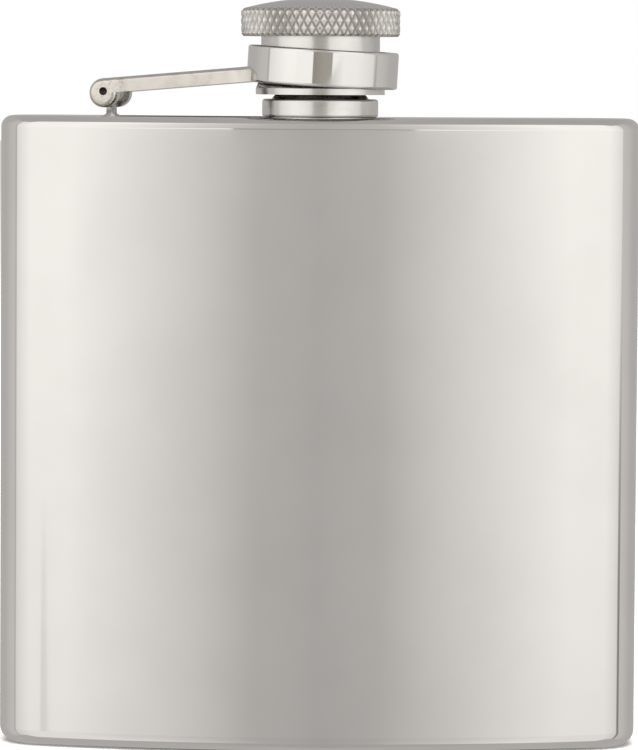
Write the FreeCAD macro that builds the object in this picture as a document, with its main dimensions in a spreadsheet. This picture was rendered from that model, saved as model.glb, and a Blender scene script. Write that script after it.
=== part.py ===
"""Hip flask with a captive screw cap, as a parametric document.

Frame: +X to the right as the convex front is seen, +Y towards the concave back, +Z up. The origin is
on the table, under the middle of the flask's overall box. Millimetres and degrees.
"""
import FreeCAD, Part
import math
import os

import Sketcher
from FreeCAD import Placement, Rotation, Vector

DIMENSIONS = (
    # The sheet-metal vessel, bent to fit a pocket.
    ("body_width", 94.0, "across the straight sides"),
    ("body_height", 92.5, "base to top plate"),
    ("front_radius", 140.0, "convex front seen from above, outside"),
    ("back_radius", 119.0, "concave back seen from above, outside, same centre"),
    ("bend_centre", 127.125, "that centre's distance behind the origin"),
    ("corner_radius", 8.5, "upright corners, outside"),
    ("top_round", 1.7, "outer round of the top pan"),
    ("base_round", 2.3, "outer round of the base pan"),
    ("pan_depth", 2.5, "height of the top and base pans"),
    ("sheet_gauge", 0.6, "wall of the vessel"),
    # The neck, centred in the flask's thickness.
    ("neck_back", -2.375, "neck axis behind the origin"),
    ("neck_bore", 5.5, "radius of the pouring hole"),
    ("neck_tube", 6.5, "outer radius of the neck's tube"),
    ("neck_foot", 91.7, "lower end of the tube, inside the vessel"),
    ("neck_rim", 104.0, "top of the tube"),
    ("collar_radius", 8.5, "collar that is brazed on the top plate"),
    ("collar_top", 95.15, "top of the collar"),
    ("collar_round", 0.4, "rounded edges of the collar"),
    ("shoulder_radius", 7.15, "foot of the conical shoulder"),
    ("shoulder_top", 95.9, "where the shoulder meets the tube"),
    ("rim_round", 0.2, "rounded edges of the rim"),
    # The screw thread, coarse and rounded, right-handed.
    ("thread_pitch", 2.0, "rise in one turn"),
    ("thread_height", 3.0, "height of a ridge's path, one and a half turns"),
    ("thread_base", 0.9, "width of a ridge at its root"),
    ("thread_crest", 0.4, "width of a ridge at its crest"),
    ("thread_root", 0.1, "depth of a ridge's root in its wall"),
    ("male_crest", 7.25, "crest radius on the neck"),
    ("male_start", 98.6, "middle of the neck's ridge where it starts"),
    ("female_crest", 6.8, "crest radius in the cap"),
    # The cap: knurled head on a smooth sleeve, with a seal inside.
    ("head_radius", 11.7, "knurled head"),
    ("head_bottom", 104.3, "underside of the head"),
    ("head_shoulder", 108.35, "where the dome starts"),
    ("head_chamfer", 0.35, "chamfer above and below the knurl"),
    ("cap_top", 109.9, "top of the dome"),
    ("sleeve_radius", 8.7, "smooth skirt under the head"),
    ("sleeve_bore", 7.45, "bore around the neck's thread"),
    ("sleeve_ceiling", 105.6, "top of that bore"),
    ("sleeve_top", 107.0, "top of the sleeve's spigot in the head"),
    ("flange_radius", 9.45, "flange that the ring catches"),
    ("flange_bottom", 95.8, "underside of the flange"),
    ("flange_top", 96.7, "upper end of the flange's rim"),
    ("flange_cone_top", 98.6, "where the flange's cone meets the skirt"),
    ("gasket_radius", 7.3, "silicone disc"),
    ("gasket_bottom", 104.05, "face that meets the rim"),
    ("gasket_top", 105.55, "face under the sleeve's ceiling"),
    # The loose ring that carries the cap.
    ("ring_radius", 11.03, "outside of the ring"),
    ("ring_height", 5.4, "height of the ring"),
    ("ring_bore", 10.1, "wide bore around the flange"),
    ("ring_lip", 9.3, "narrow bore that catches the flange"),
    ("ring_lip_height", 1.25, "height of that lip"),
    ("ring_middle", 99.8, "height of the ring's middle when closed"),
    ("ring_offset", 0.35, "ring's middle, beyond the neck's axis"),
    ("ring_tilt", 3.1, "the ring leans down away from the hinge"),
    ("ring_round", 0.4, "outer edges of the ring"),
    # The arm, its hinge and the pin.
    ("arm_yaw", 12.0, "the arm runs this far off the flask's width"),
    ("pin_reach", 31.6, "neck axis to pin"),
    ("pin_height", 96.1, "height of the pin's axis"),
    ("pin_radius", 0.6, "pin"),
    ("pin_recess", 1.0, "pin ends below the ears' faces"),
    ("arm_width", 9.8, "over the two ears and along the bar"),
    ("slot_width", 5.4, "between the ears"),
    ("slot_reach", 2.6, "end of the slot, from the pin towards the ring"),
    ("ear_radius", 2.15, "round end of each ear"),
    ("ear_drop", 0.25, "middle of that round, below the pin"),
    ("ear_back", 0.1, "middle of that round, away from the ring"),
    ("bar_height", 2.2, "thickness of the bar"),
    ("bar_slope", 4.85, "the bar climbs towards the ring"),
    ("bar_round", 0.8, "rounded upper edges of the bar and outline of the ears"),
    ("flare_start", 13.0, "where the bar starts to widen, from the ring's middle"),
    ("flare_radius", 7.0, "hollow curve of that widening"),
    ("flare_width", 14.4, "width where that curve ends, inside the ring's circle"),
    ("lug_gap", 0.1, "side play of the eye between the ears"),
    ("eye_radius", 1.7, "outside of the eye"),
    ("eye_bore", 0.65, "hole for the pin"),
    ("stem_thickness", 0.9, "stem under the eye"),
    ("stem_width", 2.6, "same, along the pin"),
    ("stem_flare", 0.35, "hollow curve at the stem's foot"),
    ("foot_height", 0.15, "edge of the flared foot"),
)


class Size:
    """A number together with the sheet formula that it comes from."""

    def __init__(self, value, formula):
        self.value = value
        self.formula = formula

    @staticmethod
    def of(number):
        return number if isinstance(number, Size) else Size(number, f"{number}")

    def joined(self, other, sign, value):
        return Size(value, f"({self.formula} {sign} {Size.of(other).formula})")

    def __add__(self, other):
        return self.joined(other, "+", self.value + Size.of(other).value)

    def __sub__(self, other):
        return self.joined(other, "-", self.value - Size.of(other).value)

    def __mul__(self, other):
        return self.joined(other, "*", self.value * Size.of(other).value)

    def __truediv__(self, other):
        return self.joined(other, "/", self.value / Size.of(other).value)

    def __neg__(self):
        return Size(-self.value, f"-{self.formula}")


class Sizes:
    """The driving dimensions by name: each is a Size bound to its cell in the sheet."""

    def __init__(self, table):
        for alias, value, _ in table:
            setattr(self, alias, Size(value, f"sizes.{alias}"))


NOUGHT = Size(0, "0")
ORIGIN = (-1, 1)
ACROSS_AXIS = -1
UP_AXIS = -2
START, END, CENTRE = 1, 2, 3

os.makedirs("parts", exist_ok=True)
doc = FreeCAD.newDocument("hip_flask")
size = Sizes(DIMENSIONS)


def make_sheet():
    """Write the driving dimensions into the document's sheet, one row each."""
    sheet = doc.addObject("Spreadsheet::Sheet", "sizes")
    for row, (alias, value, note) in enumerate(DIMENSIONS, start=1):
        sheet.set(f"A{row}", alias)
        sheet.set(f"B{row}", f"{value}")
        sheet.setAlias(f"B{row}", alias)
        sheet.set(f"C{row}", note)
    doc.recompute()


# ---- bodies and sketches -------------------------------------------------------------------------


def new_body(label, placement=None):
    """An empty body whose label is the sub-part's name."""
    body = doc.addObject("PartDesign::Body", label)
    body.Label = label
    body.Placement = placement or Placement()
    return body


def sketch_on(body, plane_role, name, offset=None):
    """An empty sketch on one of the body's own origin planes."""
    sketch = body.newObject("Sketcher::SketchObject", name)
    plane = next(each for each in body.Origin.OriginFeatures if each.Role == plane_role)
    sketch.AttachmentSupport = (plane, [""])
    sketch.MapMode = "FlatFace"
    if isinstance(offset, Size):
        sketch.setExpression("AttachmentOffset.Base.z", offset.formula)
    elif offset is not None:
        sketch.AttachmentOffset = offset
    return sketch


def constrain(sketch, kind, *where, to=None):
    """Add a constraint, bound to a Size if one is given."""
    if to is None:
        return sketch.addConstraint(Sketcher.Constraint(kind, *where))
    index = sketch.addConstraint(Sketcher.Constraint(kind, *where, to.value))
    sketch.setExpression(f"Constraints[{index}]", to.formula)
    return index


def fix_point(sketch, point, across, up):
    """Tie a sketch point to its two coordinates."""
    for kind, axis, place in (("DistanceX", UP_AXIS, across), ("DistanceY", ACROSS_AXIS, up)):
        if place.value == 0:
            constrain(sketch, "PointOnObject", *point, axis)
        elif place.value > 0:
            constrain(sketch, kind, *ORIGIN, *point, to=place)
        else:
            constrain(sketch, kind, *point, *ORIGIN, to=-place)


def arc_between(first, last, radius):
    """The short arc from first to last: anticlockwise for a positive radius, else clockwise."""
    chord = last - first
    side = Vector(-chord.y, chord.x, 0).normalize()
    rise = math.sqrt(radius**2 - chord.Length**2 / 4)
    centre = (first + last) / 2 + side * math.copysign(rise, radius)
    start, end = (first, last) if radius > 0 else (last, first)
    angles = [math.atan2(point.y - centre.y, point.x - centre.x) for point in (start, end)]
    return Part.ArcOfCircle(Part.Circle(centre, Vector(0, 0, 1), abs(radius)), *angles)


def outline(sketch, points, arcs=None):
    """A closed anticlockwise outline through (across, up) points.

    arcs gives the radius of side number i: positive bulges outwards, negative inwards.
    """
    arcs = arcs or {}
    sides = []
    for i, here in enumerate(points):
        there = points[(i + 1) % len(points)]
        first, last = (Vector(across.value, up.value, 0) for across, up in (here, there))
        if i not in arcs:
            side = sketch.addGeometry(Part.LineSegment(first, last))
            sides.append(((side, START), (side, END)))
            continue
        side = sketch.addGeometry(arc_between(first, last, arcs[i].value))
        outward = arcs[i].value > 0
        constrain(sketch, "Radius", side, to=arcs[i] if outward else -arcs[i])
        ends = ((side, START), (side, END))
        sides.append(ends if outward else ends[::-1])
    for i, (first, _) in enumerate(sides):
        constrain(sketch, "Coincident", *sides[i - 1][1], *first)
        fix_point(sketch, first, *points[i])


def circle(sketch, across, up, radius):
    """A full circle."""
    middle = Vector(across.value, up.value, 0)
    ring = sketch.addGeometry(Part.Circle(middle, Vector(0, 0, 1), radius.value))
    fix_point(sketch, (ring, CENTRE), across, up)
    constrain(sketch, "Radius", ring, to=radius)


def rectangle(sketch, left, right, low, high):
    """An upright rectangle."""
    outline(sketch, [(left, low), (right, low), (right, high), (left, high)])


# ---- features ------------------------------------------------------------------------------------


def extrude(body, kind, sketch, length=None, symmetric=False, backwards=False):
    """Pad or Pocket a sketch; a pocket with no length goes right through."""
    feature = body.newObject(f"PartDesign::{kind}", kind.lower())
    feature.Profile = sketch
    feature.Reversed = backwards
    if symmetric:
        feature.SideType = "Symmetric"
    if length is None:
        feature.Type = "ThroughAll"
    else:
        feature.setExpression("Length", length.formula)
    doc.recompute()
    if kind == "Pocket" and feature.Shape.Volume >= feature.BaseFeature.Shape.Volume - 1e-6:
        raise RuntimeError(f"{body.Label}: {feature.Name} cuts nothing")
    return feature


def revolve(body, sketch):
    """Turn a sketch about its upright axis."""
    feature = body.newObject("PartDesign::Revolution", "turned")
    feature.Profile = sketch
    feature.ReferenceAxis = (sketch, ["V_Axis"])
    feature.Angle = 360
    doc.recompute()
    return feature


def fillet(body, base, radius, wanted):
    """Round the edges of base for which wanted(edge) holds."""
    names = [f"Edge{i}" for i, edge in enumerate(base.Shape.Edges, start=1) if wanted(edge)]
    if not names:
        raise RuntimeError(f"{body.Label}: no edge to round")
    feature = body.newObject("PartDesign::Fillet", "round")
    feature.Base = (base, names)
    feature.setExpression("Radius", radius.formula)
    doc.recompute()
    return feature


def at_height(height, radius=None):
    """A test for level edges at this height, and on this radius about the body's axis if given."""

    def test(edge):
        box = edge.BoundBox
        level = abs(box.ZMin - height.value) < 1e-4 and abs(box.ZMax - height.value) < 1e-4
        return level and (radius is None or abs(box.XMax - radius.value) < 1e-4)

    return test


def helical_ridge(body, crest, wall, middle):
    """A trapezoid ridge that winds up a wall; the crest may be outside or inside the wall."""
    inward = crest.value < wall.value
    root = wall + size.thread_root if inward else wall - size.thread_root
    base, tip = size.thread_base / 2, size.thread_crest / 2
    points = [(root, middle - base), (crest, middle - tip), (crest, middle + tip), (root, middle + base)]
    sketch = sketch_on(body, "XZ_Plane", "ridge_section")
    outline(sketch, points[::-1] if inward else points)
    feature = body.newObject("PartDesign::AdditiveHelix", "ridge")
    feature.Profile = sketch
    feature.ReferenceAxis = (sketch, ["V_Axis"])
    feature.Mode = "pitch-height-angle"
    feature.setExpression("Pitch", size.thread_pitch.formula)
    feature.setExpression("Height", size.thread_height.formula)
    doc.recompute()
    return feature


# ---- places --------------------------------------------------------------------------------------


def neck_frame():
    """The frame of everything that is turned about the neck's axis."""
    return Placement(Vector(0, size.neck_back.value, 0), Rotation())


def arm_frame():
    """The frame of the arm: its origin on the neck's axis, its x axis along the arm, hinge at -x."""
    return neck_frame() * Placement(Vector(), Rotation(Vector(0, 0, 1), -size.arm_yaw.value))


def ring_frame():
    """The frame of the ring: its middle, leaning with the ring, seen from the arm's frame."""
    middle = Vector(size.ring_offset.value, 0, size.ring_middle.value)
    return Placement(middle, Rotation(Vector(0, 1, 0), size.ring_tilt.value))


# ---- the vessel ----------------------------------------------------------------------------------


def kidney(sketch, inset):
    """The flask's section: two concentric arcs, two straight sides and four round corners."""
    front = size.front_radius - inset
    back = size.back_radius + inset
    corner = size.corner_radius - inset
    half = size.body_width / 2 - inset
    bend = Vector(0, size.bend_centre.value, 0)
    corner_x = half.value - corner.value
    front_y = bend.y - math.sqrt((front.value - corner.value) ** 2 - corner_x**2)
    back_y = bend.y - math.sqrt((back.value + corner.value) ** 2 - corner_x**2)
    lean_front = math.atan2(corner_x, bend.y - front_y)
    lean_back = math.atan2(corner_x, bend.y - back_y)
    down, up, left = -math.pi / 2, math.pi / 2, math.pi

    def arc(centre, radius, start, end):
        return sketch.addGeometry(Part.ArcOfCircle(Part.Circle(centre, Vector(0, 0, 1), radius), start, end))

    def upright(x, low, high):
        return sketch.addGeometry(Part.LineSegment(Vector(x, low, 0), Vector(x, high, 0)))

    front_arc = arc(bend, front.value, down - lean_front, down + lean_front)
    back_arc = arc(bend, back.value, down - lean_back, down + lean_back)
    right_side = upright(half.value, front_y, back_y)
    left_side = upright(-half.value, front_y, back_y)
    front_right = arc(Vector(corner_x, front_y, 0), corner.value, down + lean_front, 0)
    back_right = arc(Vector(corner_x, back_y, 0), corner.value, 0, up + lean_back)
    back_left = arc(Vector(-corner_x, back_y, 0), corner.value, up - lean_back, left)
    front_left = arc(Vector(-corner_x, front_y, 0), corner.value, left, left + up - lean_front)

    for one, two in (
        ((front_arc, END), (front_right, START)),
        ((front_right, END), (right_side, START)),
        ((right_side, END), (back_right, START)),
        ((back_right, END), (back_arc, END)),
        ((back_arc, START), (back_left, START)),
        ((back_left, END), (left_side, END)),
        ((left_side, START), (front_left, START)),
        ((front_left, END), (front_arc, START)),
    ):
        constrain(sketch, "Tangent", *one, *two)
    constrain(sketch, "Vertical", right_side)
    constrain(sketch, "Vertical", left_side)
    fix_point(sketch, (front_arc, CENTRE), NOUGHT, size.bend_centre)
    constrain(sketch, "Coincident", back_arc, CENTRE, front_arc, CENTRE)
    constrain(sketch, "DistanceX", *ORIGIN, right_side, START, to=half)
    constrain(sketch, "DistanceX", left_side, START, *ORIGIN, to=half)
    for side, radius in ((front_arc, front), (back_arc, back)):
        constrain(sketch, "Radius", side, to=radius)
    for side in (front_right, back_right, back_left, front_left):
        constrain(sketch, "Radius", side, to=corner)


def body_shell():
    """The wrapped sheet between the two pans."""
    body = new_body("body_shell")
    section = sketch_on(body, "XY_Plane", "section", size.pan_depth)
    kidney(section, NOUGHT)
    kidney(section, size.sheet_gauge)
    extrude(body, "Pad", section, size.body_height - size.pan_depth * 2)
    return body


def pan(label, seam, outer, inner, rounding, upwards):
    """A drawn pan: its open edge at the seam, its rounded floor at the vessel's end.

    The hollow is rounded before the outside, whose round is larger than the square hollow allows.
    """
    body = new_body(label)
    outside = sketch_on(body, "XY_Plane", "outside", seam)
    kidney(outside, NOUGHT)
    extrude(body, "Pad", outside, size.pan_depth, backwards=not upwards)
    inside = sketch_on(body, "XY_Plane", "inside", seam)
    kidney(inside, size.sheet_gauge)
    hollow = extrude(body, "Pocket", inside, size.pan_depth - size.sheet_gauge, backwards=upwards)
    inner_round = fillet(body, hollow, rounding - size.sheet_gauge, at_height(inner))
    fillet(body, inner_round, rounding, at_height(outer))
    return body


def top_plate():
    """The upper pan, with the hole that takes the neck's tube."""
    seam = size.body_height - size.pan_depth
    inner = size.body_height - size.sheet_gauge
    body = pan("top_plate", seam, size.body_height, inner, size.top_round, upwards=True)
    hole = sketch_on(body, "XY_Plane", "neck_hole", seam)
    circle(hole, NOUGHT, size.neck_back, size.neck_tube)
    extrude(body, "Pocket", hole, backwards=True)
    return body


def base_plate():
    """The lower pan, on which the flask stands."""
    return pan("base_plate", size.pan_depth, NOUGHT, size.sheet_gauge, size.base_round, upwards=False)


def neck():
    """The turned neck: collar on the plate, conical shoulder, threaded tube."""
    body = new_body("neck", neck_frame())
    section = sketch_on(body, "XZ_Plane", "section")
    outline(
        section,
        [
            (size.neck_bore, size.neck_foot),
            (size.neck_tube, size.neck_foot),
            (size.neck_tube, size.body_height),
            (size.collar_radius, size.body_height),
            (size.collar_radius, size.collar_top),
            (size.shoulder_radius, size.collar_top),
            (size.neck_tube, size.shoulder_top),
            (size.neck_tube, size.neck_rim),
            (size.neck_bore, size.neck_rim),
        ],
    )
    turned = revolve(body, section)
    collar_edges = [at_height(level, size.collar_radius) for level in (size.collar_top, size.body_height)]
    turned = fillet(body, turned, size.collar_round, lambda edge: any(test(edge) for test in collar_edges))
    fillet(body, turned, size.rim_round, at_height(size.neck_rim))
    helical_ridge(body, size.male_crest, size.neck_tube, size.male_start)
    return body


# ---- the cap -------------------------------------------------------------------------------------


def cap_sleeve():
    """The skirt with the female thread; its ridge winds half a pitch above the neck's."""
    body = new_body("cap_sleeve", neck_frame())
    section = sketch_on(body, "XZ_Plane", "section")
    outline(
        section,
        [
            (size.sleeve_bore, size.flange_bottom),
            (size.flange_radius, size.flange_bottom),
            (size.flange_radius, size.flange_top),
            (size.sleeve_radius, size.flange_cone_top),
            (size.sleeve_radius, size.sleeve_top),
            (NOUGHT, size.sleeve_top),
            (NOUGHT, size.sleeve_ceiling),
            (size.sleeve_bore, size.sleeve_ceiling),
        ],
    )
    revolve(body, section)
    helical_ridge(body, size.female_crest, size.sleeve_bore, size.male_start + size.thread_pitch / 2)
    return body


def cap_head():
    """The head with its shallow dome, bored underneath for the sleeve's spigot."""
    body = new_body("cap_head", neck_frame())
    section = sketch_on(body, "XZ_Plane", "section")
    dome_foot = size.head_radius - size.head_chamfer
    dome_rise = size.cap_top - size.head_shoulder
    dome_radius = (dome_foot * dome_foot + dome_rise * dome_rise) / (dome_rise * 2)
    outline(
        section,
        [
            (size.sleeve_radius, size.head_bottom),
            (dome_foot, size.head_bottom),
            (size.head_radius, size.head_bottom + size.head_chamfer),
            (size.head_radius, size.head_shoulder - size.head_chamfer),
            (dome_foot, size.head_shoulder),
            (NOUGHT, size.cap_top),
            (NOUGHT, size.sleeve_top),
            (size.sleeve_radius, size.sleeve_top),
        ],
        arcs={4: dome_radius},
    )
    revolve(body, section)
    return body


def cap_gasket():
    """The silicone disc that closes the neck's rim."""
    disc = doc.addObject("Part::Cylinder", "cap_gasket")
    disc.setExpression("Radius", size.gasket_radius.formula)
    disc.setExpression("Height", (size.gasket_top - size.gasket_bottom).formula)
    disc.Placement = neck_frame() * Placement(Vector(0, 0, size.gasket_bottom.value), Rotation())
    return disc


# ---- the captive hinge ---------------------------------------------------------------------------


def cap_ring():
    """The ring in which the cap turns: a wide bore with a lip over the flange."""
    body = new_body("cap_ring", arm_frame() * ring_frame())
    section = sketch_on(body, "XZ_Plane", "section")
    half = size.ring_height / 2
    ledge = half - size.ring_lip_height
    outline(
        section,
        [
            (size.ring_bore, -half),
            (size.ring_radius, -half),
            (size.ring_radius, half),
            (size.ring_lip, half),
            (size.ring_lip, ledge),
            (size.ring_bore, ledge),
        ],
    )
    turned = revolve(body, section)
    outer_edges = [at_height(level, size.ring_radius) for level in (half, -half)]
    fillet(body, turned, size.ring_round, lambda edge: any(test(edge) for test in outer_edges))
    return body


def bar_side_view(sketch):
    """Side view of the arm: the ear's round end, and a sloping bar that is tangent to it."""
    slope = math.radians(size.bar_slope.value)
    middle = Vector(-(size.pin_reach + size.ear_back).value, (size.pin_height - size.ear_drop).value, 0)
    radius, thickness = size.ear_radius.value, size.bar_height.value
    along = Vector(math.cos(slope), math.sin(slope), 0)
    above = Vector(-math.sin(slope), math.cos(slope), 0)
    touch = middle + above * radius
    lift = radius - thickness
    corner = middle + above * lift + along * math.sqrt(radius**2 - lift**2)
    end_x = -size.ring_radius.value / 2
    end_low, end_high = (each + along * ((end_x - each.x) / along.x) for each in (corner, touch))
    start_angle = math.pi / 2 + slope
    end_angle = 2 * math.pi + math.atan2(corner.y - middle.y, corner.x - middle.x)
    round_end = sketch.addGeometry(
        Part.ArcOfCircle(Part.Circle(middle, Vector(0, 0, 1), radius), start_angle, end_angle)
    )
    underside = sketch.addGeometry(Part.LineSegment(corner, end_low))
    end_face = sketch.addGeometry(Part.LineSegment(end_low, end_high))
    topside = sketch.addGeometry(Part.LineSegment(end_high, touch))
    constrain(sketch, "Coincident", round_end, END, underside, START)
    constrain(sketch, "Coincident", underside, END, end_face, START)
    constrain(sketch, "Coincident", end_face, END, topside, START)
    constrain(sketch, "Tangent", topside, END, round_end, START)
    constrain(sketch, "Vertical", end_face)
    constrain(sketch, "Parallel", topside, underside)
    fix_point(sketch, (round_end, CENTRE), -(size.pin_reach + size.ear_back), size.pin_height - size.ear_drop)
    constrain(sketch, "Radius", round_end, to=size.ear_radius)
    constrain(sketch, "Distance", underside, START, topside, to=size.bar_height)
    constrain(sketch, "DistanceX", end_face, START, *ORIGIN, to=size.ring_radius / 2)
    tilt = sketch.addConstraint(Sketcher.Constraint("Angle", underside, slope))
    sketch.setExpression(f"Constraints[{tilt}]", f"{size.bar_slope.formula} * 1 deg")


def bar_plan_trim(sketch):
    """All that the plan view takes off the bar: it leaves parallel sides and a flare near the ring."""
    half = size.arm_width / 2
    wide = size.flare_width / 2
    widening = wide - half
    run_squared = widening * (size.flare_radius * 2 - widening)
    run = Size(math.sqrt(run_squared.value), f"sqrt({run_squared.formula})")
    waist = -size.flare_start
    root = run - size.flare_start
    tail = -(size.pin_reach + size.ear_radius * 3)
    blank = size.flare_width
    rectangle(sketch, tail - 1, size.ring_radius, -blank, blank)
    points = [(tail, -half), (waist, -half), (root, -wide), (NOUGHT, -wide)]
    points += [(across, -up) for across, up in reversed(points)]
    outline(sketch, points, arcs={1: -size.flare_radius, 5: -size.flare_radius})


def hinge_arm():
    """The arm: two ears on the pin, a sloping bar, a flared root on the ring."""
    body = new_body("hinge_arm", arm_frame())
    side_view = sketch_on(body, "XZ_Plane", "side_view")
    bar_side_view(side_view)
    extrude(body, "Pad", side_view, size.flare_width + 2, symmetric=True)
    plan = sketch_on(body, "XY_Plane", "plan_view", ring_frame())
    bar_plan_trim(plan)
    trimmed = extrude(body, "Pocket", plan, symmetric=True)
    fillet(body, trimmed, size.bar_round, is_bar_outline)
    seat = sketch_on(body, "XY_Plane", "ring_seat", ring_frame())
    circle(seat, NOUGHT, NOUGHT, size.ring_radius)
    extrude(body, "Pocket", seat, symmetric=True)
    slot = sketch_on(body, "XY_Plane", "slot")
    tail = -(size.pin_reach + size.ear_radius * 2)
    slot_half = size.slot_width / 2
    rectangle(slot, tail, size.slot_reach - size.pin_reach, -slot_half, slot_half)
    extrude(body, "Pocket", slot, backwards=True)
    hole = sketch_on(body, "XZ_Plane", "pin_hole")
    circle(hole, -size.pin_reach, size.pin_height, size.pin_radius)
    extrude(body, "Pocket", hole, symmetric=True)
    return body


def is_bar_outline(edge):
    """The edges of the bar's two side faces, except along its underside and where it meets the ring."""
    half = size.arm_width.value / 2
    box = edge.BoundBox
    on_side = abs(abs(box.YMin) - half) < 1e-4 and abs(abs(box.YMax) - half) < 1e-4
    round_end = on_side and edge.Curve.TypeId == "Part::GeomCircle"
    middle = edge.valueAt((edge.FirstParameter + edge.LastParameter) / 2)
    slope = math.tan(math.radians(size.bar_slope.value))
    axis_height = size.pin_height.value - size.ear_drop.value + (middle.x + size.pin_reach.value) * slope
    return round_end or (on_side and middle.z > axis_height + size.bar_height.value / 2)


def hinge_pin():
    """The pin, a little shorter than the arm is wide."""
    length = size.arm_width - size.pin_recess * 2
    pin = doc.addObject("Part::Cylinder", "hinge_pin")
    pin.setExpression("Radius", size.pin_radius.formula)
    pin.setExpression("Height", length.formula)
    end = Vector(-size.pin_reach.value, -length.value / 2, size.pin_height.value)
    pin.Placement = arm_frame() * Placement(end, Rotation(Vector(1, 0, 0), -90))
    return pin


def hinge_lug():
    """The eye that stands on the top plate: flared foot, thin stem, barrel round the pin."""
    body = new_body("hinge_lug", arm_frame())
    stem = sketch_on(body, "XZ_Plane", "stem")
    half = size.stem_thickness / 2
    left, right = -size.pin_reach - half, -size.pin_reach + half
    foot_edge = size.body_height + size.foot_height
    stem_foot = foot_edge + size.stem_flare
    outline(
        stem,
        [
            (left - size.stem_flare, size.body_height),
            (right + size.stem_flare, size.body_height),
            (right + size.stem_flare, foot_edge),
            (right, stem_foot),
            (right, size.pin_height),
            (left, size.pin_height),
            (left, stem_foot),
            (left - size.stem_flare, foot_edge),
        ],
        arcs={2: -size.stem_flare, 6: -size.stem_flare},
    )
    extrude(body, "Pad", stem, size.stem_width, symmetric=True)
    barrel = sketch_on(body, "XZ_Plane", "barrel")
    circle(barrel, -size.pin_reach, size.pin_height, size.eye_radius)
    extrude(body, "Pad", barrel, size.slot_width - size.lug_gap * 2, symmetric=True)
    bore = sketch_on(body, "XZ_Plane", "bore")
    circle(bore, -size.pin_reach, size.pin_height, size.eye_bore)
    extrude(body, "Pocket", bore, symmetric=True)
    return body


# ---- the whole flask -----------------------------------------------------------------------------


def check_and_export(nodes):
    """Stop on any failed object, then write each sub-part to its own file."""
    doc.recompute()
    failed = [each.Name for each in doc.Objects if {"Invalid", "Error"} & set(each.State)]
    failed += [node.Label for node in nodes if node.Shape.isNull() or not node.Shape.isValid()]
    failed += [node.Label for node in nodes if len(node.Shape.Solids) != 1]
    if failed:
        raise RuntimeError(f"failed: {failed}")
    for node in nodes:
        node.Shape.exportStep(f"parts/{node.Label}.step")


make_sheet()
check_and_export(
    [
        body_shell(),
        top_plate(),
        base_plate(),
        neck(),
        hinge_lug(),
        hinge_pin(),
        hinge_arm(),
        cap_ring(),
        cap_head(),
        cap_sleeve(),
        cap_gasket(),
    ]
)
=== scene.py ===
"""The looks of the hip flask: mirror-polished sheet steel, knurled captive cap, soft studio light."""
import math
import random

import bpy
from mathutils import Matrix, Vector


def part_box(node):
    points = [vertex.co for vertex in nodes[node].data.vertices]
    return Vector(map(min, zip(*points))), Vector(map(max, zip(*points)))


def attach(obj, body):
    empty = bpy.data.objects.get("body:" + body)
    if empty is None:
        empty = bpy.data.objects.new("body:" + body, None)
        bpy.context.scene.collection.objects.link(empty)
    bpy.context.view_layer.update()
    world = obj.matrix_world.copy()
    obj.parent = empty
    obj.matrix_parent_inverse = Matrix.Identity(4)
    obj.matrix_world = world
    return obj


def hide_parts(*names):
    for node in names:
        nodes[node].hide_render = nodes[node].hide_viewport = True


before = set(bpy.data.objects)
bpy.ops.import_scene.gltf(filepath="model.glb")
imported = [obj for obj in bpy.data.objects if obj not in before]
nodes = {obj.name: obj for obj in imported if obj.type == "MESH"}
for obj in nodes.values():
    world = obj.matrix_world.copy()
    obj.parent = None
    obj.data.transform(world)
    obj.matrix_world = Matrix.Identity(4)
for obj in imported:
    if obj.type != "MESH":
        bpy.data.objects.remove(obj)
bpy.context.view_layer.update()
scene = bpy.context.scene

# ---- camera --------------------------------------------------------------------------------------

CAMERA_DISTANCE = 0.74
CAMERA_HEIGHT = 0.0997
CAMERA_AZIMUTH = math.radians(0.52)
CAMERA_ROLL = math.radians(0.36)
AIM = Vector((0.00005, 0.0, 0.0545))
FRAMED_HEIGHT = 0.1106
SENSOR = 36.0
CLIP = (0.01, 50.0)


def make_camera():
    """A long lens at the height of the cap, so that the flask fills the frame."""
    data = bpy.data.cameras.new("camera")
    camera = bpy.data.objects.new("camera", data)
    scene.collection.objects.link(camera)
    rise = CAMERA_HEIGHT - AIM.z
    back = Vector((math.sin(CAMERA_AZIMUTH), -math.cos(CAMERA_AZIMUTH), 0)) * CAMERA_DISTANCE
    camera.location = AIM + back + Vector((0, 0, rise))
    look = (AIM - camera.location).to_track_quat("-Z", "Y").to_matrix()
    camera.rotation_euler = (look @ Matrix.Rotation(CAMERA_ROLL, 3, "Z")).to_euler()
    data.sensor_width = SENSOR
    data.lens = SENSOR * (AIM - camera.location).length / FRAMED_HEIGHT
    data.clip_start, data.clip_end = CLIP
    scene.camera = camera


# ---- node trees ----------------------------------------------------------------------------------


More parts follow.
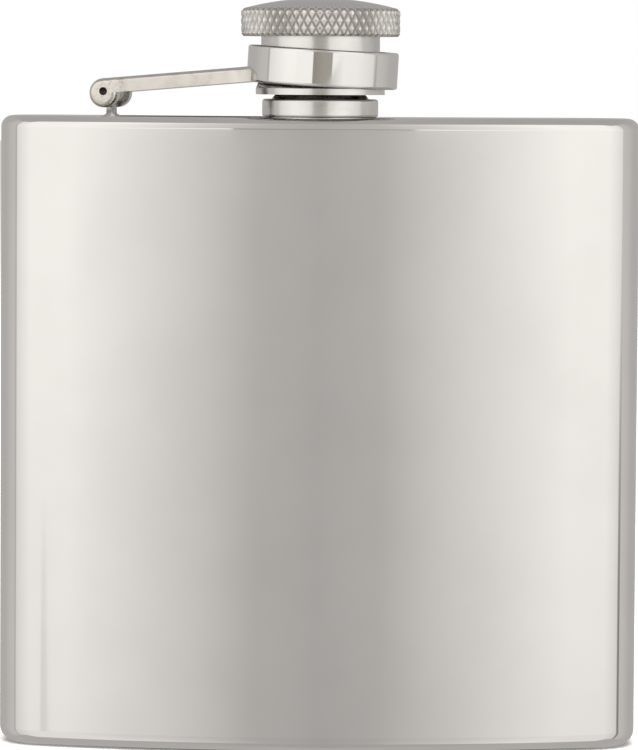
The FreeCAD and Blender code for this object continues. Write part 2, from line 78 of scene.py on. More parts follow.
class Graph:
    """Short calls for building a node tree."""

    def __init__(self, tree):
        self.tree = tree
        tree.nodes.clear()

    def node(self, kind, **settings):
        made = self.tree.nodes.new(kind)
        for name, value in settings.items():
            setattr(made, name, value)
        return made

    def link(self, source, target):
        if isinstance(source, (int, float, tuple)):
            target.default_value = source
        else:
            self.tree.links.new(source, target)

    def math(self, operation, *values, clamp=False):
        made = self.node("ShaderNodeMath", operation=operation, use_clamp=clamp)
        for value, socket in zip(values, made.inputs):
            self.link(value, socket)
        return made.outputs[0]

    def between(self, value, low, high, smooth=True):
        """0 at low, 1 at high, eased in between; low may be the larger of the two."""
        kind = "SMOOTHSTEP" if smooth else "LINEAR"
        made = self.node("ShaderNodeMapRange", interpolation_type=kind)
        sockets = ("Value", "From Min", "From Max", "To Min", "To Max")
        for name, number in zip(sockets, (value, low, high, 0.0, 1.0)):
            self.link(number, made.inputs[name])
        return made.outputs["Result"]

    def band(self, value, start, full, fading, end):
        """1 from full to fading, eased to 0 at start and at end."""
        return self.math("MULTIPLY", self.between(value, start, full), self.between(value, end, fading))

    def mix(self, factor, low, high):
        """Plain number blend: low at 0, high at 1."""
        made = self.node("ShaderNodeMix", data_type="FLOAT")
        self.link(factor, made.inputs[0])
        self.link(low, made.inputs[2])
        self.link(high, made.inputs[3])
        return made.outputs[0]

    def mix_colour(self, factor, low, high):
        made = self.node("ShaderNodeMix", data_type="RGBA")
        self.link(factor, made.inputs[0])
        self.link(low if not isinstance(low, tuple) else (*low, 1.0), made.inputs[6])
        self.link(high if not isinstance(high, tuple) else (*high, 1.0), made.inputs[7])
        return made.outputs[2]

    def place(self):
        """The point on the piece, in metres, in the piece's own frame."""
        return self.node("ShaderNodeTexCoord").outputs["Object"]

    def stretched(self, vector, scale):
        made = self.node("ShaderNodeVectorMath", operation="MULTIPLY")
        self.link(vector, made.inputs[0])
        made.inputs[1].default_value = scale
        return made.outputs[0]

    def shifted(self, vector, offset):
        made = self.node("ShaderNodeVectorMath", operation="ADD")
        self.link(vector, made.inputs[0])
        made.inputs[1].default_value = offset
        return made.outputs[0]

    def axes(self, vector):
        made = self.node("ShaderNodeSeparateXYZ")
        self.link(vector, made.inputs[0])
        return made.outputs

    def noise(self, vector, scale=1.0, detail=2.0, roughness=0.5):
        made = self.node("ShaderNodeTexNoise")
        self.link(vector, made.inputs["Vector"])
        for name, value in (("Scale", scale), ("Detail", detail), ("Roughness", roughness)):
            made.inputs[name].default_value = value
        return made.outputs["Fac"]

    def varied(self, noise, base, span):
        """A number that goes from base to base + span with a noise of 0 to 1."""
        return self.math("MULTIPLY_ADD", noise, span, base)

    def bump(self, height, depth, below=None):
        """A relief of this many metres between height 0 and 1."""
        made = self.node("ShaderNodeBump")
        made.inputs["Strength"].default_value = 1.0
        made.inputs["Distance"].default_value = depth
        self.link(height, made.inputs["Height"])
        if below is not None:
            self.link(below, made.inputs["Normal"])
        return made.outputs["Normal"]


# ---- light ---------------------------------------------------------------------------------------

# The studio's directions are in degrees, across from the camera's side and up from eye level. Of two
# numbers, a change starts at the first and is full at the second; four are start, full, fading and end.

# Brightness just above eye level, by degrees to either side, fitted to what the steel mirrors.
STUDIO_LEVELS = (
    (0, 0.60), (8, 0.66), (15, 0.862), (24, 1.11), (33, 1.33), (55, 1.33), (74, 1.19),
    (86, 1.08), (88.8, 1.05), (89.7, 0.745), (106, 0.70), (125, 0.585), (155, 0.52), (180, 0.47),
)
RAMP_TOP = 2.0
BOX_END = (88.8, 89.7)
STUDIO_TURN = 0.5
STUDIO_TINT = (1.0, 0.975, 0.955)

LOWEST_GAP = 0.86
LOWEST_BOX = 0.79
LOWEST_ASIDE = (2.0, 28.0)
FADE_UP = (-10.5, 1.0)

FRAME_RIGHT = 89.0
FRAME_RIGHT_EDGE = (4.5, 1.5)
FRAME_RIGHT_UP = (-1.6, -6.2)
FRAME_RIGHT_LEVEL = 0.38
FRAME_LEFT = -90.5
FRAME_LEFT_EDGE = (3.5, 1.0)
FRAME_LEFT_LEVEL = 0.80

STAND_INNER = (-36.3, -36.4)
STAND_OUTER = (-36.55, -36.45)
STAND_SPREAD = (0.75, 0.5)
STAND_SPREAD_UP = (-5.0, -8.3)
STAND_UP = (-11.5, -9.5, -5.6, -4.9)
STAND_LEVEL = 0.81

# Where ceiling and table start, in front and at the sides, and how much further on they are full.
SIDEWAYS_ASIDE = (40.0, 80.0)
CEILING_UP = (52.0, 37.0)
CEILING_EDGE = 8.0
CEILING_LEVEL = 0.53
TABLE_UP = (-50.0, -33.0)
TABLE_EDGE = 6.0
TABLE_LEVELS = (0.51, 0.58)
TABLE_LEVELS_ASIDE = (4.0, 50.0)

SHADOW_ASIDE = (168.0, 175.0)
SHADOW_UP = (-48.0, -45.0, -31.0, -28.0)
FLAG_ACROSS = (-176.3, -176.9)
FLAG_UP = (-0.8, -0.3, 1.4, 2.2)
DARK_LEVEL = 0.08


def studio_level(g, azimuth, elevation):
    """A soft-box on either side of a darker camera gap, a grey ceiling and a grey table."""
    aside = g.math("ABSOLUTE", azimuth)
    ramp = g.node("ShaderNodeValToRGB")
    ramp.color_ramp.interpolation = "LINEAR"
    stops = ramp.color_ramp.elements
    while len(stops) < len(STUDIO_LEVELS):
        stops.new(0.5)
    for stop, (degrees, level) in zip(stops, STUDIO_LEVELS):
        share = level / RAMP_TOP
        stop.position = degrees / 180
        stop.color = (share, share, share, 1)
    g.link(g.math("DIVIDE", aside, 180.0), ramp.inputs["Fac"])
    level = g.math("MULTIPLY", ramp.outputs["Color"], RAMP_TOP)

    # The soft-boxes fall off a little towards the table, the gap less so, and the room behind not at all.
    lowest = g.mix(g.between(aside, *LOWEST_ASIDE), LOWEST_GAP, LOWEST_BOX)
    fade = g.mix(g.between(elevation, *FADE_UP, smooth=False), lowest, 1.0)
    fade = g.mix(g.between(aside, *BOX_END), fade, 1.0)
    level = g.math("MULTIPLY", level, fade)

    # The edge of the right soft-box and, fainter, of the left one, each a dark frame.
    frame_right = g.between(g.math("ABSOLUTE", g.math("SUBTRACT", azimuth, FRAME_RIGHT)), *FRAME_RIGHT_EDGE)
    frame_right = g.math("MULTIPLY", frame_right, g.between(elevation, *FRAME_RIGHT_UP))
    level = g.math("MULTIPLY", level, g.mix(frame_right, 1.0, FRAME_RIGHT_LEVEL))
    frame_left = g.between(g.math("ABSOLUTE", g.math("SUBTRACT", azimuth, FRAME_LEFT)), *FRAME_LEFT_EDGE)
    level = g.math("MULTIPLY", level, g.mix(frame_left, 1.0, FRAME_LEFT_LEVEL))

    # A faint upright streak, as of a light stand before the left soft-box, wider at its foot. It ends just
    # below what the front mirrors at eye level.
    lower = g.between(elevation, *STAND_SPREAD_UP, smooth=False)
    inward, outward = (g.math("MULTIPLY", lower, spread) for spread in STAND_SPREAD)
    inner = g.between(g.math("SUBTRACT", azimuth, inward), *STAND_INNER)
    outer = g.between(g.math("ADD", azimuth, outward), *STAND_OUTER)
    stand = g.math("MULTIPLY", g.math("MULTIPLY", inner, outer), g.band(elevation, *STAND_UP))
    level = g.math("MULTIPLY", level, g.mix(stand, 1.0, STAND_LEVEL))

    # Ceiling and table reach nearer to eye level at the sides than in front.
    sideways = g.between(aside, *SIDEWAYS_ASIDE)
    ceiling = g.mix(sideways, *CEILING_UP)
    ceiling_full = g.math("ADD", ceiling, CEILING_EDGE)
    level = g.mix(g.between(elevation, ceiling, ceiling_full), level, CEILING_LEVEL)
    table = g.mix(sideways, *TABLE_UP)
    table_full = g.math("SUBTRACT", table, TABLE_EDGE)
    table_level = g.mix(g.between(aside, *TABLE_LEVELS_ASIDE), *TABLE_LEVELS)
    level = g.mix(g.between(elevation, table, table_full), level, table_level)

    # A dark band low behind, for the thin line along the bottom of the front. From behind and 28 to 48
    # degrees up, the hollow back mirrors it too, as a broad dark stripe.
    shadow = g.math("MULTIPLY", g.between(aside, *SHADOW_ASIDE), g.band(elevation, *SHADOW_UP))
    level = g.mix(shadow, level, DARK_LEVEL)
    # A small dark flag far behind, for the dark strip on the left of the top plate's flat. From straight
    # behind, at eye level, the back mirrors it too, as a narrow dark stripe.
    flag = g.math("MULTIPLY", g.between(azimuth, *FLAG_ACROSS), g.band(elevation, *FLAG_UP))
    return g.mix(flag, level, DARK_LEVEL)


def make_world():
    """Reflections and light come from the studio; the camera itself sees a white background."""
    world = bpy.data.worlds.new("studio")
    scene.world = world
    world.use_nodes = True
    g = Graph(world.node_tree)
    x, y, z = g.axes(g.node("ShaderNodeTexCoord").outputs["Generated"])
    azimuth = g.math("DEGREES", g.math("ARCTAN2", x, g.math("MULTIPLY", y, -1.0)))
    azimuth = g.math("ADD", azimuth, STUDIO_TURN)
    elevation = g.math("DEGREES", g.math("ARCSINE", z))

    seen = g.node("ShaderNodeBackground")
    g.link((1.0, 1.0, 1.0, 1.0), seen.inputs["Color"])
    lit = g.node("ShaderNodeBackground")
    g.link((*STUDIO_TINT, 1.0), lit.inputs["Color"])
    g.link(studio_level(g, azimuth, elevation), lit.inputs["Strength"])
    both = g.node("ShaderNodeMixShader")
    g.link(g.node("ShaderNodeLightPath").outputs["Is Camera Ray"], both.inputs[0])
    g.link(lit.outputs[0], both.inputs[1])
    g.link(seen.outputs[0], both.inputs[2])
    g.link(both.outputs[0], g.node("ShaderNodeOutputWorld").inputs["Surface"])


FLOOR_HALF = 6.0
FLOOR_WHITE = 0.86
FLOOR_ROUGHNESS = 0.9
LAMP_SIZE = 2.0
LAMP_HEIGHT = 1.6
LAMP_ENERGY = 48.0


def make_floor():
    """A pale floor under an overhead lamp. The steel mirrors neither of them."""
    mesh = bpy.data.meshes.new("floor")
    half = FLOOR_HALF
    corners = [(-half, -half, 0), (half, -half, 0), (half, half, 0), (-half, half, 0)]
    mesh.from_pydata(corners, [], [(0, 1, 2, 3)])
    floor = bpy.data.objects.new("floor", mesh)
    scene.collection.objects.link(floor)
    floor.visible_glossy = False
    material = bpy.data.materials.new("pale_floor")
    material.use_nodes = True
    shader = material.node_tree.nodes["Principled BSDF"]
    shader.inputs["Base Color"].default_value = (FLOOR_WHITE, FLOOR_WHITE, FLOOR_WHITE, 1)
    shader.inputs["Roughness"].default_value = FLOOR_ROUGHNESS
    mesh.materials.append(material)

    lamp_data = bpy.data.lights.new("overhead", "AREA")
    lamp_data.shape = "DISK"
    lamp_data.size = LAMP_SIZE
    lamp_data.energy = LAMP_ENERGY
    lamp = bpy.data.objects.new("overhead", lamp_data)
    scene.collection.objects.link(lamp)
    lamp.location = (0, 0, LAMP_HEIGHT)
    lamp.visible_glossy = False
    lamp.visible_camera = False


GAP_DISTANCE = 0.25
GAP_ANGLE = 14.0
GAP_DARK = (0.41, 0.37, 0.325)
GAP_PALE = (0.49, 0.46, 0.405)
GAP_SHADE = (-0.06, 0.025)
LEFT_EDGE = (0.001, -0.001)
RIGHT_EDGE = (-0.002, 0.006)
WING_ANGLE = 40.0
WING_LEVEL = 1.28
WING_DROP = 0.0031
WING_HEIGHT = 0.025


def make_camera_gap():
    """A bright panel with the dark gap for the lens, close in front of the cap.

    It starts just below the top plate, so the cap and the neck mirror its sharp gap, and of the vessel
    only a thin line in the round above the front. Only reflections see it.
    """
    plate_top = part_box("top_plate")[1].z
    half = GAP_DISTANCE * math.tan(math.radians(WING_ANGLE))
    low, high = plate_top - WING_DROP, plate_top + WING_HEIGHT
    corners = [(-half, low), (half, low), (half, high), (-half, high)]
    mesh = bpy.data.meshes.new("camera_gap")
    mesh.from_pydata([(x, -GAP_DISTANCE, z) for x, z in corners], [], [(0, 1, 2, 3)])
    panel = bpy.data.objects.new("camera_gap", mesh)
    scene.collection.objects.link(panel)
    for sight in ("camera", "diffuse", "transmission", "volume_scatter", "shadow"):
        setattr(panel, f"visible_{sight}", False)

    material = bpy.data.materials.new("camera_gap")
    material.use_nodes = True
    material.cycles.emission_sampling = "NONE"
    g = Graph(material.node_tree)
    across = g.axes(g.place())[0]
    edge = GAP_DISTANCE * math.tan(math.radians(GAP_ANGLE))
    left_wing = g.between(across, *(blur - edge for blur in LEFT_EDGE))
    right_wing = g.between(across, *(blur + edge for blur in RIGHT_EDGE))
    wing = g.math("ADD", left_wing, right_wing, clamp=True)
    white = tuple(WING_LEVEL * part for part in STUDIO_TINT)
    gap = g.mix_colour(g.between(across, *GAP_SHADE), GAP_DARK, GAP_PALE)
    glow = g.node("ShaderNodeEmission")
    g.link(g.mix_colour(wing, gap, white), glow.inputs["Color"])
    g.link(glow.outputs[0], g.node("ShaderNodeOutputMaterial").inputs["Surface"])
    mesh.materials.append(material)


# ---- materials -----------------------------------------------------------------------------------


def bare_material(name):
    """A new material: itself, its graph and its shader."""
    material = bpy.data.materials.new(name)
    material.use_nodes = True
    g = Graph(material.node_tree)
    shader = g.node("ShaderNodeBsdfPrincipled")
    g.link(shader.outputs[0], g.node("ShaderNodeOutputMaterial").inputs["Surface"])
    return material, g, shader


def metal(name, colour, roughness, relief, shade):
    """A metal. roughness(g), relief(g) and shade(g, colour) build what their names say."""
    material, g, shader = bare_material(name)
    shader.inputs["Metallic"].default_value = 1.0
    g.link(shade(g, colour), shader.inputs["Base Color"])
    g.link(roughness(g), shader.inputs["Roughness"])
    g.link(relief(g), shader.inputs["Normal"])
    return material


def scaled(colour, share):
    """The colour, this many times as bright."""
    return tuple(part * share for part in colour)


def tinted(colour, shares):
    """The colour, with its red, green and blue each this many times as bright."""
    return tuple(part * share for part, share in zip(colour, shares))


def polished_steel():
    """Sheet buffed up and down: a mirror with faint upright lines and a slight haze that varies."""

    def lines(g):
        return g.noise(g.stretched(g.place(), (2600.0, 2600.0, 14.0)), detail=3.0)

    def roughness(g):
        haze = g.noise(g.place(), scale=55.0, detail=3.0)
        return g.varied(haze, base=g.varied(lines(g), base=0.025, span=0.030), span=0.02)

    def relief(g):
        waves = g.noise(g.stretched(g.place(), (26.0, 26.0, 12.0)), detail=1.0)
        return g.bump(lines(g), depth=0.0000004, below=g.bump(waves, depth=0.000012))

    def shade(g, colour):
        cloud = g.noise(g.place(), scale=70.0, detail=4.0)
        return g.mix_colour(g.between(cloud, 0.35, 0.7), colour, scaled(colour, 0.965))

    return metal("polished_steel", (0.70, 0.69, 0.67), roughness, relief, shade)


def turned_steel():
    """Lathe-turned and lightly polished: the mirror is drawn out up and down."""
    tool_pitch = 0.00012

    def roughness(g):
        band = g.noise(g.stretched(g.place(), (40.0, 40.0, 3000.0)), detail=2.0)
        smear = g.noise(g.place(), scale=260.0, detail=3.0)
        return g.varied(band, base=g.varied(smear, base=0.12, span=0.10), span=0.08)

    def relief(g):
        """Fine grooves left by the tool, level rings with an uneven depth."""
        rings = g.noise(g.stretched(g.place(), (30.0, 30.0, 1.0 / tool_pitch)), detail=2.0, roughness=0.7)
        return g.bump(rings, depth=0.000003)

    def shade(g, colour):
        cloud = g.noise(g.place(), scale=300.0, detail=3.0)
        return g.mix_colour(g.between(cloud, 0.4, 0.75), colour, scaled(colour, 0.90))

    return metal("turned_steel", (0.69, 0.68, 0.66), roughness, relief, shade)


def arm_steel(pin):
    """A bright plated casting: warm, softly wavy, and dented around the pin by the riveting punch."""
    punch_end, punch_full = 0.0030, 0.0018

    def punched(g):
        """1 near the pin's axis, 0 from a few millimetres away."""
        x, _, z = g.axes(g.shifted(g.place(), (-pin.x, 0.0, -pin.z)))
        away = g.math("SQRT", g.math("ADD", g.math("MULTIPLY", x, x), g.math("MULTIPLY", z, z)))
        return g.between(away, punch_end, punch_full)

    def roughness(g):
        return g.varied(g.noise(g.place(), scale=420.0, detail=4.0), base=0.08, span=0.22)

    def relief(g):
        waves = g.noise(g.place(), scale=520.0, detail=2.0)
        pits = g.noise(g.place(), scale=2600.0, detail=3.0)
        dents = g.math("MULTIPLY", g.noise(g.place(), scale=1500.0, detail=1.0), punched(g))
        cast = g.bump(pits, depth=0.0000025, below=g.bump(waves, depth=0.000012))
        return g.bump(dents, depth=0.00007, below=cast)

    def shade(g, colour):
        cloud = g.noise(g.place(), scale=520.0, detail=3.0)
        return g.mix_colour(g.between(cloud, 0.45, 0.75), colour, scaled(colour, 0.86))

    return metal("arm_steel", (0.61, 0.585, 0.54), roughness, relief, shade)


def brazed_steel():
    """The brazed eye: the plating is dulled and stained by the heat."""

    def roughness(g):
        return g.varied(g.noise(g.place(), scale=900.0, detail=3.0), base=0.10, span=0.20)

    def relief(g):
        return g.bump(g.noise(g.place(), scale=1800.0, detail=3.0), depth=0.000006)

    def shade(g, colour):
        patch = g.between(g.noise(g.place(), scale=800.0, detail=3.0), 0.35, 0.65)
        return g.mix_colour(patch, colour, tinted(colour, (0.42, 0.41, 0.40)))

    return metal("brazed_steel", (0.48, 0.47, 0.45), roughness, relief, shade)


def pin_steel():
    """The pin: dull, dark and upset at its ends by the riveting punch."""

    def roughness(g):
        return g.varied(g.noise(g.place(), scale=2500.0), base=0.35, span=0.25)

    def relief(g):
        return g.bump(g.noise(g.place(), scale=3500.0, detail=2.0), depth=0.00006)

    def shade(g, colour):
        patch = g.between(g.noise(g.place(), scale=3000.0), 0.35, 0.65)
        return g.mix_colour(patch, colour, scaled(colour, 0.3))

    return metal("pin_steel", (0.10, 0.095, 0.09), roughness, relief, shade)


def knurled_steel(axis, crest, groove):
    """Pressed diamonds: crests bright from wear, dull grooves with painted shade; a satin dome with spun
    rings.
    """
    dome_edge, side_edge = groove - 0.0004, groove - 0.0002

    def outward(g):
        """The distance from the cap's axis."""
        x, y, _ = g.axes(g.shifted(g.place(), (-axis.x, -axis.y, 0.0)))
        across = g.math("ADD", g.math("MULTIPLY", x, x), g.math("MULTIPLY", y, y))
        return g.math("SQRT", across)

    def side(g):
        """0 on the dome, 1 on the knurl."""
        return g.between(outward(g), dome_edge, side_edge)

    def crest_wear_and_groove_shade(g):
        """0 in the grooves, 1 on the crests, with a ragged border."""
        speckle = g.varied(g.noise(g.place(), scale=2200.0, detail=3.0), base=-0.00005, span=0.0001)
        return g.between(g.math("ADD", outward(g), speckle), groove, crest)

    def roughness(g):
        dome = g.varied(g.noise(g.place(), scale=900.0), base=0.32, span=0.08)
        return g.mix(side(g), dome, g.mix(crest_wear_and_groove_shade(g), 0.36, 0.20))

    def spun_rings(g, closeness):
        """0 to 1 by the distance from the axis, as a spinning pad leaves it."""
        rings = g.node("ShaderNodeTexNoise", noise_dimensions="1D")
        g.link(g.math("MULTIPLY", outward(g), closeness), rings.inputs["W"])
        rings.inputs["Scale"].default_value = 1.0
        return rings.outputs["Fac"]

    def relief(g):
        grain = g.noise(g.place(), scale=5200.0, detail=2.0)
        return g.bump(grain, depth=0.000004, below=g.bump(spun_rings(g, 9000.0), depth=0.0000015))

    def shade(g, colour):
        smudge = g.between(g.noise(g.place(), scale=650.0, detail=3.0), 0.38, 0.68)
        crests = g.mix_colour(smudge, scaled(colour, 1.14), scaled(colour, 0.90))
        # The grooves are darker than the crests: painted shade in the recesses of the knurl.
        knurl = g.mix_colour(crest_wear_and_groove_shade(g), tinted(colour, (0.68, 0.65, 0.61)), crests)
        ringed = g.between(spun_rings(g, 3800.0), 0.42, 0.66)
        dome = g.mix_colour(ringed, colour, scaled(colour, 0.88))
        return g.mix_colour(side(g), dome, knurl)

    return metal("knurled_steel", (0.66, 0.655, 0.645), roughness, relief, shade)


def silicone():
    """The seal: milky, soft and slightly see-through."""
    material, g, shader = bare_material("silicone")
    cloud = g.noise(g.place(), scale=400.0, detail=3.0)
    colour = g.mix_colour(g.between(cloud, 0.3, 0.7), (0.86, 0.86, 0.83), (0.78, 0.78, 0.74))
    g.link(colour, shader.inputs["Base Color"])
    g.link(g.varied(cloud, base=0.4, span=0.2), shader.inputs["Roughness"])
    g.link(g.bump(g.noise(g.place(), scale=3000.0), depth=0.000004), shader.inputs["Normal"])
    shader.inputs["Subsurface Weight"].default_value = 0.3
    shader.inputs["Subsurface Scale"].default_value = 0.0008
    return material


# ---- meshes --------------------------------------------------------------------------------------


class Shell:
    """Vertices and faces, gathered loop by loop."""

    def __init__(self):
        self.vertices = []
        self.faces = []

    def loop(self, points):
        """Add a closed loop of points and give back their numbers."""
        start = len(self.vertices)
        self.vertices.extend(points)
        return list(range(start, len(self.vertices)))

    def bridge(self, first, second):
        """Quads between two loops of the same length."""
        count = len(first)
        for i in range(count):
            j = (i + 1) % count
            self.faces.append((first[i], first[j], second[j], second[i]))

    def bridge_all(self, loops, closed=False):
        """Quads from each loop to the next, and from the last to the first if closed."""
        for first, second in zip(loops, loops[1:]):
            self.bridge(first, second)
        if closed:
            self.bridge(loops[-1], loops[0])

    def fan(self, loop, middle, flip=False):
        """Triangles from a loop to one middle point."""
        tip = self.loop([middle])[0]
        for i, here in enumerate(loop):
            there = loop[(i + 1) % len(loop)]
            self.faces.append((there, here, tip) if flip else (here, there, tip))

    def piece(self, name, material, body, stands_for, crease=30.0):
        """Make the object, smooth but for edges sharper than the crease, in degrees."""
        mesh = bpy.data.meshes.new(name)
        mesh.from_pydata(self.vertices, [], self.faces)
        mesh.validate()
        mesh.shade_smooth()
        mesh.set_sharp_from_angle(angle=math.radians(crease))
        mesh.materials.append(material)
        made = bpy.data.objects.new(name, mesh)
        scene.collection.objects.link(made)
        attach(made, body)
        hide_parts(stands_for)


# The vessel's section: two concentric arcs, straight sides and round corners, in metres.
FRONT_RADIUS = 0.140
BACK_RADIUS = 0.119
CORNER_RADIUS = 0.0085
TOP_ROUND = 0.0017
BASE_ROUND = 0.0023
GAUGE = 0.0006
ARC_STEPS = 128
CORNER_STEPS = 36
SIDE_STEPS = 4
ROUND_STEPS = 16
# A narrow step before and after each round, so that the smooth shading leaves the flats flat.
LEAD = 0.00004
NECK_TUBE = 0.0065


def kidney(inset):
    """Points around the vessel's section, anticlockwise, this far inside its outline."""
    low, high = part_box("body_shell")
    half = (high.x - low.x) / 2 - inset
    bend = low.y + FRONT_RADIUS
    front, back, corner = FRONT_RADIUS - inset, BACK_RADIUS + inset, CORNER_RADIUS - inset
    corner_x = half - corner
    front_y = bend - math.sqrt((front - corner) ** 2 - corner_x**2)
    back_y = bend - math.sqrt((back + corner) ** 2 - corner_x**2)
    lean_front = math.atan2(corner_x, bend - front_y)
    lean_back = math.atan2(corner_x, bend - back_y)
    down, up, left = -math.pi / 2, math.pi / 2, math.pi

    def arc(x, y, radius, start, end, steps):
        turns = [start + (end - start) * i / steps for i in range(steps)]
        return [(x + radius * math.cos(turn), y + radius * math.sin(turn)) for turn in turns]

    def side(x, start, end):
        return [(x, start + (end - start) * i / SIDE_STEPS) for i in range(SIDE_STEPS)]

    return (
        arc(0, bend, front, down - lean_front, down + lean_front, ARC_STEPS)
        + arc(corner_x, front_y, corner, down + lean_front, 0, CORNER_STEPS)
        + side(half, front_y, back_y)
        + arc(corner_x, back_y, corner, 0, up + lean_back, CORNER_STEPS)
        + arc(0, bend, back, down + lean_back, down - lean_back, ARC_STEPS)
        + arc(-corner_x, back_y, corner, up - lean_back, left, CORNER_STEPS)
        + side(-half, back_y, front_y)
        + arc(-corner_x, front_y, corner, left, left + up - lean_front, CORNER_STEPS)
    )


def body_shell(material):
    """The wrapped sheet: outer and inner wall, and its two cut edges."""
    low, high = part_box("body_shell")
    shell = Shell()
    corners = ((0, low.z), (0, high.z), (GAUGE, high.z), (GAUGE, low.z))
    loops = [shell.loop([(x, y, z) for x, y in kidney(inset)]) for inset, z in corners]
    shell.bridge_all(loops, closed=True)
    shell.piece("body_shell_polished", material, "flask", "body_shell")


def rounded_pan(shell, seam, end, inset, radius):
    """Loops from the seam up the wall and over the rounded edge to the flat, at this inset."""
    towards = math.copysign(1.0, end - seam)
    foot = end - towards * radius
    levels = [(inset, seam), (inset, foot - towards * LEAD)]
    for i in range(ROUND_STEPS + 1):
        turn = math.pi / 2 * i / ROUND_STEPS
        levels.append((inset + radius * (1 - math.cos(turn)), foot + towards * radius * math.sin(turn)))
    levels.append((inset + radius + LEAD, end))
    return [shell.loop([(x, y, z) for x, y in kidney(inset)]) for inset, z in levels]


def top_plate(material):
    """The upper pan, with the hole for the neck."""
    low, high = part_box("top_plate")
    neck_low, neck_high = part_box("neck")
    axis_y = (neck_low.y + neck_high.y) / 2
    shell = Shell()
    outer = rounded_pan(shell, low.z, high.z, 0, TOP_ROUND)
    inner = rounded_pan(shell, low.z, high.z - GAUGE, GAUGE, TOP_ROUND - GAUGE)
    turns = [math.atan2(y - axis_y, x) for x, y in kidney(TOP_ROUND)]
    hole = [(NECK_TUBE * math.cos(turn), axis_y + NECK_TUBE * math.sin(turn)) for turn in turns]
    rims = [shell.loop([(x, y, z) for x, y in hole]) for z in (high.z, high.z - GAUGE)]
    shell.bridge_all(outer + rims + inner[::-1], closed=True)
    shell.piece("top_plate_polished", material, "flask", "top_plate")


def base_plate(material):
    """The lower pan, on which the flask stands."""
    low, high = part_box("base_plate")
    shell = Shell()
    outer = rounded_pan(shell, high.z, low.z, 0, BASE_ROUND)
    inner = rounded_pan(shell, high.z, low.z + GAUGE, GAUGE, BASE_ROUND - GAUGE)
    shell.bridge_all(inner[::-1] + outer)
    shell.faces = [face[::-1] for face in shell.faces]
    shell.fan(outer[-1], (0, 0, low.z), flip=True)
    shell.fan(inner[-1], (0, 0, low.z + GAUGE))
    shell.piece("base_plate_polished", material, "flask", "base_plate")


# The knurled head.
DIAMONDS = 60
CELL_STEPS = 12
KNURL_ROWS = 22
KNURL_DEPTH = 0.00034
CREST_HEIGHT = 0.86
CREST_SPREAD = (-0.26, 0.09)
# The seed's pattern of wear has eight draws for each ridge, of which the first five are used.
WEAR_DRAWS = 8
WEAR_CELLS = 5
HEAD_CHAMFER = 0.00035
DOME_RISE = 0.00155
DOME_ROWS = 22
SPIGOT_RADIUS = 0.0087
KNURL_SEED = 7


def zigzag(turns):
    """0 at whole numbers, 1 halfway between them."""
    return 1 - abs(2 * (turns % 1.0) - 1)


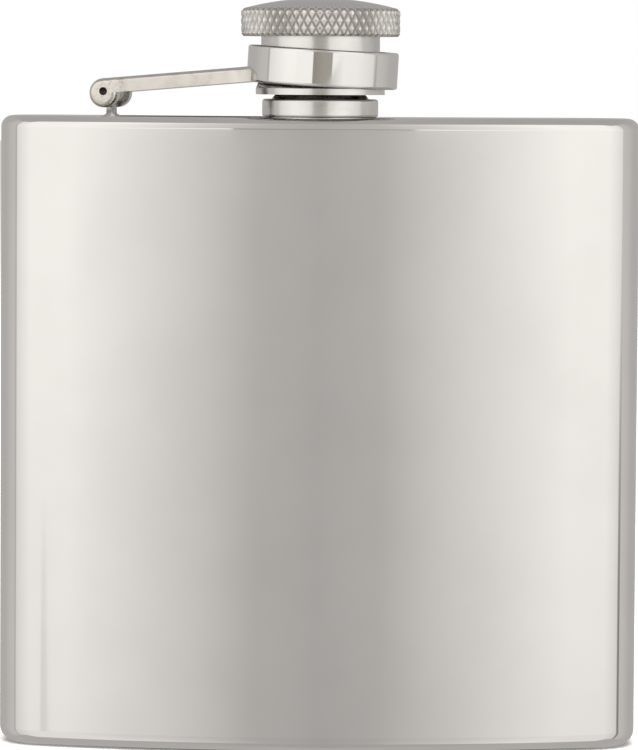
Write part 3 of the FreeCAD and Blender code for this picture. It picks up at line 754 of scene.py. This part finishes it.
def cap_head(material):
    """The head: knurled side, spun dome, and the bore for the sleeve's spigot."""
    low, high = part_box("cap_head")
    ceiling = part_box("cap_sleeve")[1].z
    axis_y = (low.y + high.y) / 2
    radius = (high.x - low.x) / 2
    shoulder = high.z - DOME_RISE
    columns = DIAMONDS * CELL_STEPS
    shell = Shell()
    dice = random.Random(KNURL_SEED)
    wear = [[dice.uniform(*CREST_SPREAD) for _ in range(WEAR_DRAWS)] for _ in range(DIAMONDS * 2)]

    def ring(reach, z):
        """A loop at this height; reach is a radius, or a function of the column."""
        points = []
        for i in range(columns):
            turn = 2 * math.pi * i / columns
            out = reach(i) if callable(reach) else reach
            points.append((out * math.cos(turn), axis_y + out * math.sin(turn), z))
        return shell.loop(points)

    def knurled(row, envelope):
        """Radius by column: the lower of two crossing ridges, with flattened crests."""

        def reach(i):
            rising, falling = (i + row) / CELL_STEPS, (i - row) / CELL_STEPS
            ridge = min(zigzag(rising), zigzag(falling))
            crest = CREST_HEIGHT + wear[int(rising) % len(wear)][int(falling) % WEAR_CELLS]
            return envelope - KNURL_DEPTH * (1 - min(ridge, crest) / CREST_HEIGHT)

        return reach

    def envelope(z):
        """The head's outline: upright, with a small chamfer above and below."""
        gap = min(z - low.z, shoulder - z)
        return radius - max(0.0, HEAD_CHAMFER - gap)

    rows = []
    for row in range(KNURL_ROWS + 1):
        z = low.z + (shoulder - low.z) * row / KNURL_ROWS
        rows.append(ring(knurled(row, envelope(z)), z))
    for row, (first, second) in enumerate(zip(rows, rows[1:])):
        for i in range(columns):
            j = (i + 1) % columns
            a, b, c, d = first[i], first[j], second[j], second[i]
            # The quad is split along the crease that crosses it.
            if (i - row) % (CELL_STEPS // 2) == 0:
                shell.faces += [(a, b, c), (a, c, d)]
            else:
                shell.faces += [(a, b, d), (b, c, d)]

    foot = radius - HEAD_CHAMFER
    dome_radius = (foot**2 + DOME_RISE**2) / (2 * DOME_RISE)
    dome = [rows[-1]]
    for i in range(1, DOME_ROWS):
        reach = (foot - KNURL_DEPTH) * math.cos(math.pi / 2 * i / DOME_ROWS)
        dome.append(ring(reach, high.z - dome_radius + math.sqrt(dome_radius**2 - reach**2)))
    shell.bridge_all(dome)
    shell.fan(dome[-1], (0, axis_y, high.z))
    bore = [ring(SPIGOT_RADIUS, ceiling), ring(SPIGOT_RADIUS, low.z), rows[0]]
    shell.bridge_all(bore)
    shell.fan(bore[0], (0, axis_y, ceiling), flip=True)
    shell.piece("cap_head_knurled", material, "cap", "cap_head", crease=20.0)


# ---- the whole scene -----------------------------------------------------------------------------

make_camera()
make_world()
make_floor()
make_camera_gap()
scene.view_settings.view_transform = "Standard"
scene.cycles.glossy_bounces = 12
scene.cycles.max_bounces = 16

head_low, head_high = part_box("cap_head")
head_axis = (head_low + head_high) / 2
head_radius = (head_high.x - head_low.x) / 2

pin_low, pin_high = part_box("hinge_pin")
pin_middle = (pin_low + pin_high) / 2

sheet = polished_steel()
turned = turned_steel()
finishes = {
    "neck": turned,
    "cap_sleeve": turned,
    "cap_ring": sheet,
    "hinge_arm": arm_steel(pin_middle),
    "hinge_lug": brazed_steel(),
    "hinge_pin": pin_steel(),
    "cap_gasket": silicone(),
}
for name, finish in finishes.items():
    mesh = nodes[name].data
    mesh.materials.clear()
    mesh.materials.append(finish)

body_shell(sheet)
top_plate(sheet)
base_plate(sheet)
cap_head(knurled_steel(head_axis, head_radius, head_radius - KNURL_DEPTH))
